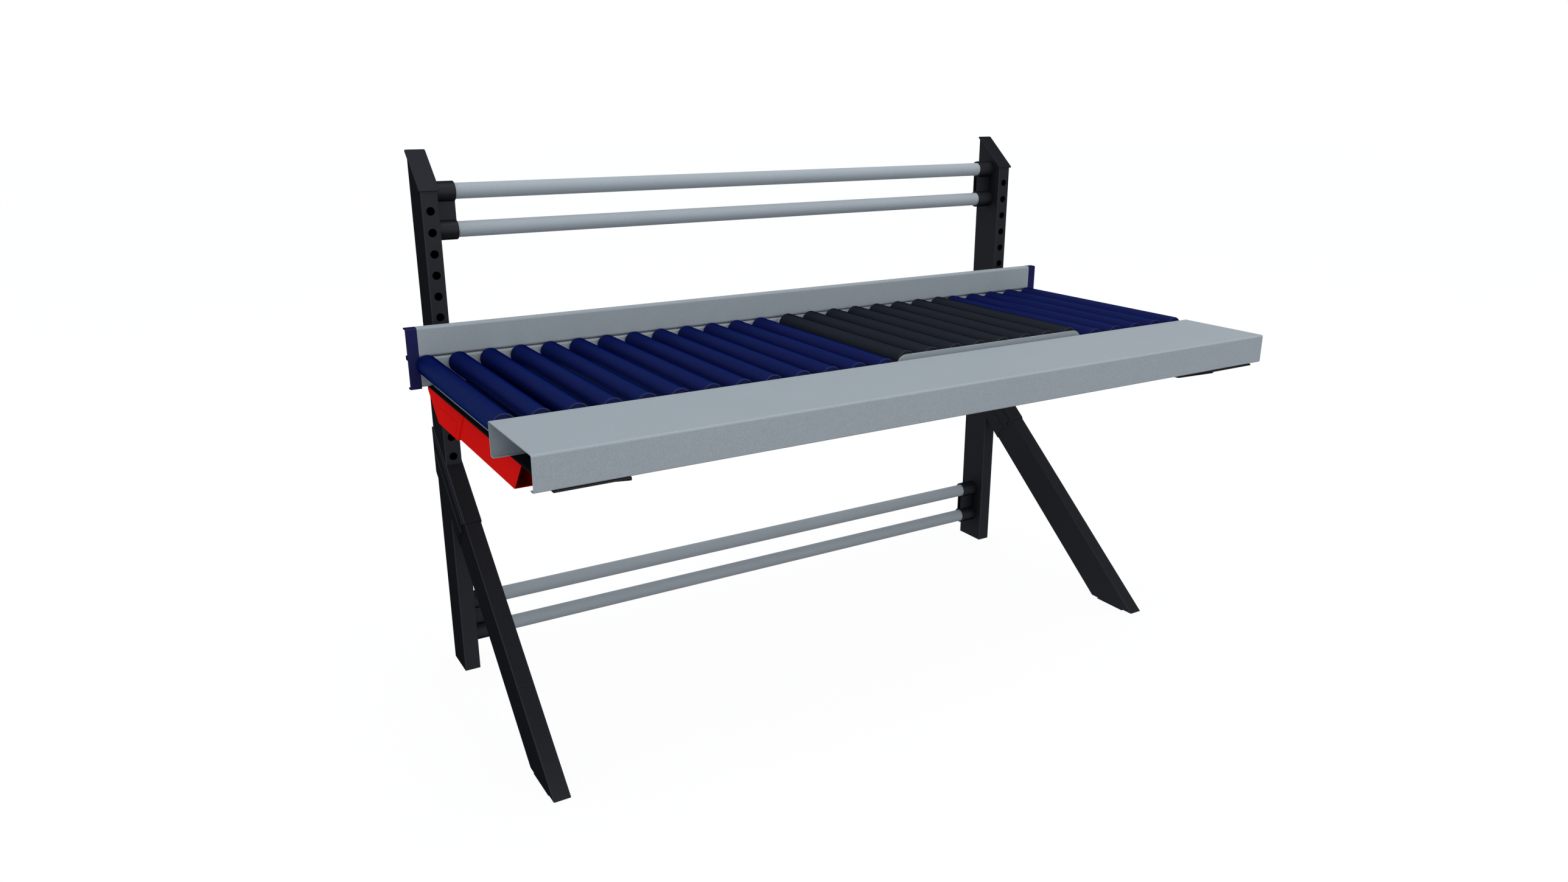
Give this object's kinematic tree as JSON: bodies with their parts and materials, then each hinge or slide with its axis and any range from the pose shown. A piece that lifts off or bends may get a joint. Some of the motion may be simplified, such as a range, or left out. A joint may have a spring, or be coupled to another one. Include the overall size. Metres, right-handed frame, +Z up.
{
  "type": "roller table",
  "caption": "Packing table with a bed of free-turning rollers, a raised weighing section, a wide front cover, a rear guide rail and leaning-leg side frames.",
  "frame": {"origin": "on the floor, under the middle of the table's bounding box", "axes": "+X along the roller bed to the operator's right, +Y from the operator to the back, +Z up"},
  "size_m": [1.9564, 1.013, 1.3294],
  "materials": {
    "black_coat": "fine-textured satin powder coat",
    "black_plastic": "moulded, fine grain",
    "red_coat": "satin powder coat",
    "grey_coat": "satin, blue-grey",
    "grey_tube": "satin, blue-grey",
    "navy_plastic": "moulded, satin",
    "blue_roller": "smooth, satin",
    "black_roller": "rubber sleeve, matte"
  },
  "bodies": {
    "table": {"cradle_front_plate": "grey_coat", "cradle_left_cross_member": "grey_coat", "cradle_rear_plate": "grey_coat", "cradle_right_cross_member": "grey_coat", "front_cover": "grey_coat", "left_arm": "red_coat", "left_bed_bracket": "black_coat", "left_cross_member": "grey_coat", "left_knee": "black_coat", "left_leg": "black_coat", "left_leg_glide": "black_plastic", "left_rail_cap": "navy_plastic", "left_upright": "black_coat", "left_upright_cap": "black_plastic", "lower_crossbar_bottom": "grey_tube", "lower_crossbar_top": "grey_tube", "lower_left_socket": "black_plastic", "lower_right_socket": "black_plastic", "rear_guide_rail": "grey_coat", "rear_side_rail": "grey_coat", "right_arm": "red_coat", "right_bed_bracket": "black_coat", "right_cross_member": "grey_coat", "right_knee": "black_coat", "right_leg": "black_coat", "right_leg_glide": "black_plastic", "right_rail_cap": "navy_plastic", "right_upright": "black_coat", "right_upright_cap": "black_plastic", "upper_crossbar_bottom": "grey_tube", "upper_crossbar_top": "grey_tube", "upper_left_socket": "black_plastic", "upper_right_socket": "black_plastic"},
    "bed_roller_01_body": {"bed_roller_01": "blue_roller"},
    "bed_roller_02_body": {"bed_roller_02": "blue_roller"},
    "bed_roller_03_body": {"bed_roller_03": "blue_roller"},
    "bed_roller_04_body": {"bed_roller_04": "blue_roller"},
    "bed_roller_05_body": {"bed_roller_05": "blue_roller"},
    "bed_roller_06_body": {"bed_roller_06": "blue_roller"},
    "bed_roller_07_body": {"bed_roller_07": "blue_roller"},
    "bed_roller_08_body": {"bed_roller_08": "blue_roller"},
    "bed_roller_09_body": {"bed_roller_09": "blue_roller"},
    "bed_roller_10_body": {"bed_roller_10": "blue_roller"},
    "bed_roller_11_body": {"bed_roller_11": "blue_roller"},
    "bed_roller_12_body": {"bed_roller_12": "blue_roller"},
    "bed_roller_13_body": {"bed_roller_13": "blue_roller"},
    "bed_roller_14_body": {"bed_roller_14": "blue_roller"},
    "bed_roller_15_body": {"bed_roller_15": "blue_roller"},
    "bed_roller_16_body": {"bed_roller_16": "blue_roller"},
    "bed_roller_17_body": {"bed_roller_17": "blue_roller"},
    "bed_roller_18_body": {"bed_roller_18": "blue_roller"},
    "weigh_roller_01_body": {"weigh_roller_01": "black_roller"},
    "weigh_roller_02_body": {"weigh_roller_02": "black_roller"},
    "weigh_roller_03_body": {"weigh_roller_03": "black_roller"},
    "weigh_roller_04_body": {"weigh_roller_04": "black_roller"},
    "weigh_roller_05_body": {"weigh_roller_05": "black_roller"},
    "weigh_roller_06_body": {"weigh_roller_06": "black_roller"},
    "weigh_roller_07_body": {"weigh_roller_07": "black_roller"},
    "weigh_roller_08_body": {"weigh_roller_08": "black_roller"}
  },
  "joints": [
    {"name": "bed_roller_01_spin", "type": "hinge", "parent": "table", "child": "bed_roller_01_body", "pos_m": [-0.9375, 0.042, 0.8463], "axis": [0, 1, 0], "continuous": true},
    {"name": "bed_roller_02_spin", "type": "hinge", "parent": "table", "child": "bed_roller_02_body", "pos_m": [-0.8625, 0.042, 0.8463], "axis": [0, 1, 0], "continuous": true},
    {"name": "bed_roller_03_spin", "type": "hinge", "parent": "table", "child": "bed_roller_03_body", "pos_m": [-0.7875, 0.042, 0.8463], "axis": [0, 1, 0], "continuous": true},
    {"name": "bed_roller_04_spin", "type": "hinge", "parent": "table", "child": "bed_roller_04_body", "pos_m": [-0.7125, 0.042, 0.8463], "axis": [0, 1, 0], "continuous": true},
    {"name": "bed_roller_05_spin", "type": "hinge", "parent": "table", "child": "bed_roller_05_body", "pos_m": [-0.6375, 0.042, 0.8463], "axis": [0, 1, 0], "continuous": true},
    {"name": "bed_roller_06_spin", "type": "hinge", "parent": "table", "child": "bed_roller_06_body", "pos_m": [-0.5625, 0.042, 0.8463], "axis": [0, 1, 0], "continuous": true},
    {"name": "bed_roller_07_spin", "type": "hinge", "parent": "table", "child": "bed_roller_07_body", "pos_m": [-0.4875, 0.042, 0.8463], "axis": [0, 1, 0], "continuous": true},
    {"name": "bed_roller_08_spin", "type": "hinge", "parent": "table", "child": "bed_roller_08_body", "pos_m": [-0.4125, 0.042, 0.8463], "axis": [0, 1, 0], "continuous": true},
    {"name": "bed_roller_09_spin", "type": "hinge", "parent": "table", "child": "bed_roller_09_body", "pos_m": [-0.3375, 0.042, 0.8463], "axis": [0, 1, 0], "continuous": true},
    {"name": "bed_roller_10_spin", "type": "hinge", "parent": "table", "child": "bed_roller_10_body", "pos_m": [-0.2625, 0.042, 0.8463], "axis": [0, 1, 0], "continuous": true},
    {"name": "bed_roller_11_spin", "type": "hinge", "parent": "table", "child": "bed_roller_11_body", "pos_m": [-0.1875, 0.042, 0.8463], "axis": [0, 1, 0], "continuous": true},
    {"name": "bed_roller_12_spin", "type": "hinge", "parent": "table", "child": "bed_roller_12_body", "pos_m": [-0.1125, 0.042, 0.8463], "axis": [0, 1, 0], "continuous": true},
    {"name": "bed_roller_13_spin", "type": "hinge", "parent": "table", "child": "bed_roller_13_body", "pos_m": [-0.0375, 0.042, 0.8463], "axis": [0, 1, 0], "continuous": true},
    {"name": "bed_roller_14_spin", "type": "hinge", "parent": "table", "child": "bed_roller_14_body", "pos_m": [0.6375, 0.042, 0.8463], "axis": [0, 1, 0], "continuous": true},
    {"name": "bed_roller_15_spin", "type": "hinge", "parent": "table", "child": "bed_roller_15_body", "pos_m": [0.7125, 0.042, 0.8463], "axis": [0, 1, 0], "continuous": true},
    {"name": "bed_roller_16_spin", "type": "hinge", "parent": "table", "child": "bed_roller_16_body", "pos_m": [0.7875, 0.042, 0.8463], "axis": [0, 1, 0], "continuous": true},
    {"name": "bed_roller_17_spin", "type": "hinge", "parent": "table", "child": "bed_roller_17_body", "pos_m": [0.8625, 0.042, 0.8463], "axis": [0, 1, 0], "continuous": true},
    {"name": "bed_roller_18_spin", "type": "hinge", "parent": "table", "child": "bed_roller_18_body", "pos_m": [0.9375, 0.042, 0.8463], "axis": [0, 1, 0], "continuous": true},
    {"name": "weigh_roller_01_spin", "type": "hinge", "parent": "table", "child": "weigh_roller_01_body", "pos_m": [0.0375, 0.042, 0.8533], "axis": [0, 1, 0], "continuous": true},
    {"name": "weigh_roller_02_spin", "type": "hinge", "parent": "table", "child": "weigh_roller_02_body", "pos_m": [0.1125, 0.042, 0.8533], "axis": [0, 1, 0], "continuous": true},
    {"name": "weigh_roller_03_spin", "type": "hinge", "parent": "table", "child": "weigh_roller_03_body", "pos_m": [0.1875, 0.042, 0.8533], "axis": [0, 1, 0], "continuous": true},
    {"name": "weigh_roller_04_spin", "type": "hinge", "parent": "table", "child": "weigh_roller_04_body", "pos_m": [0.2625, 0.042, 0.8533], "axis": [0, 1, 0], "continuous": true},
    {"name": "weigh_roller_05_spin", "type": "hinge", "parent": "table", "child": "weigh_roller_05_body", "pos_m": [0.3375, 0.042, 0.8533], "axis": [0, 1, 0], "continuous": true},
    {"name": "weigh_roller_06_spin", "type": "hinge", "parent": "table", "child": "weigh_roller_06_body", "pos_m": [0.4125, 0.042, 0.8533], "axis": [0, 1, 0], "continuous": true},
    {"name": "weigh_roller_07_spin", "type": "hinge", "parent": "table", "child": "weigh_roller_07_body", "pos_m": [0.4875, 0.042, 0.8533], "axis": [0, 1, 0], "continuous": true},
    {"name": "weigh_roller_08_spin", "type": "hinge", "parent": "table", "child": "weigh_roller_08_body", "pos_m": [0.5625, 0.042, 0.8533], "axis": [0, 1, 0], "continuous": true}
  ]
}
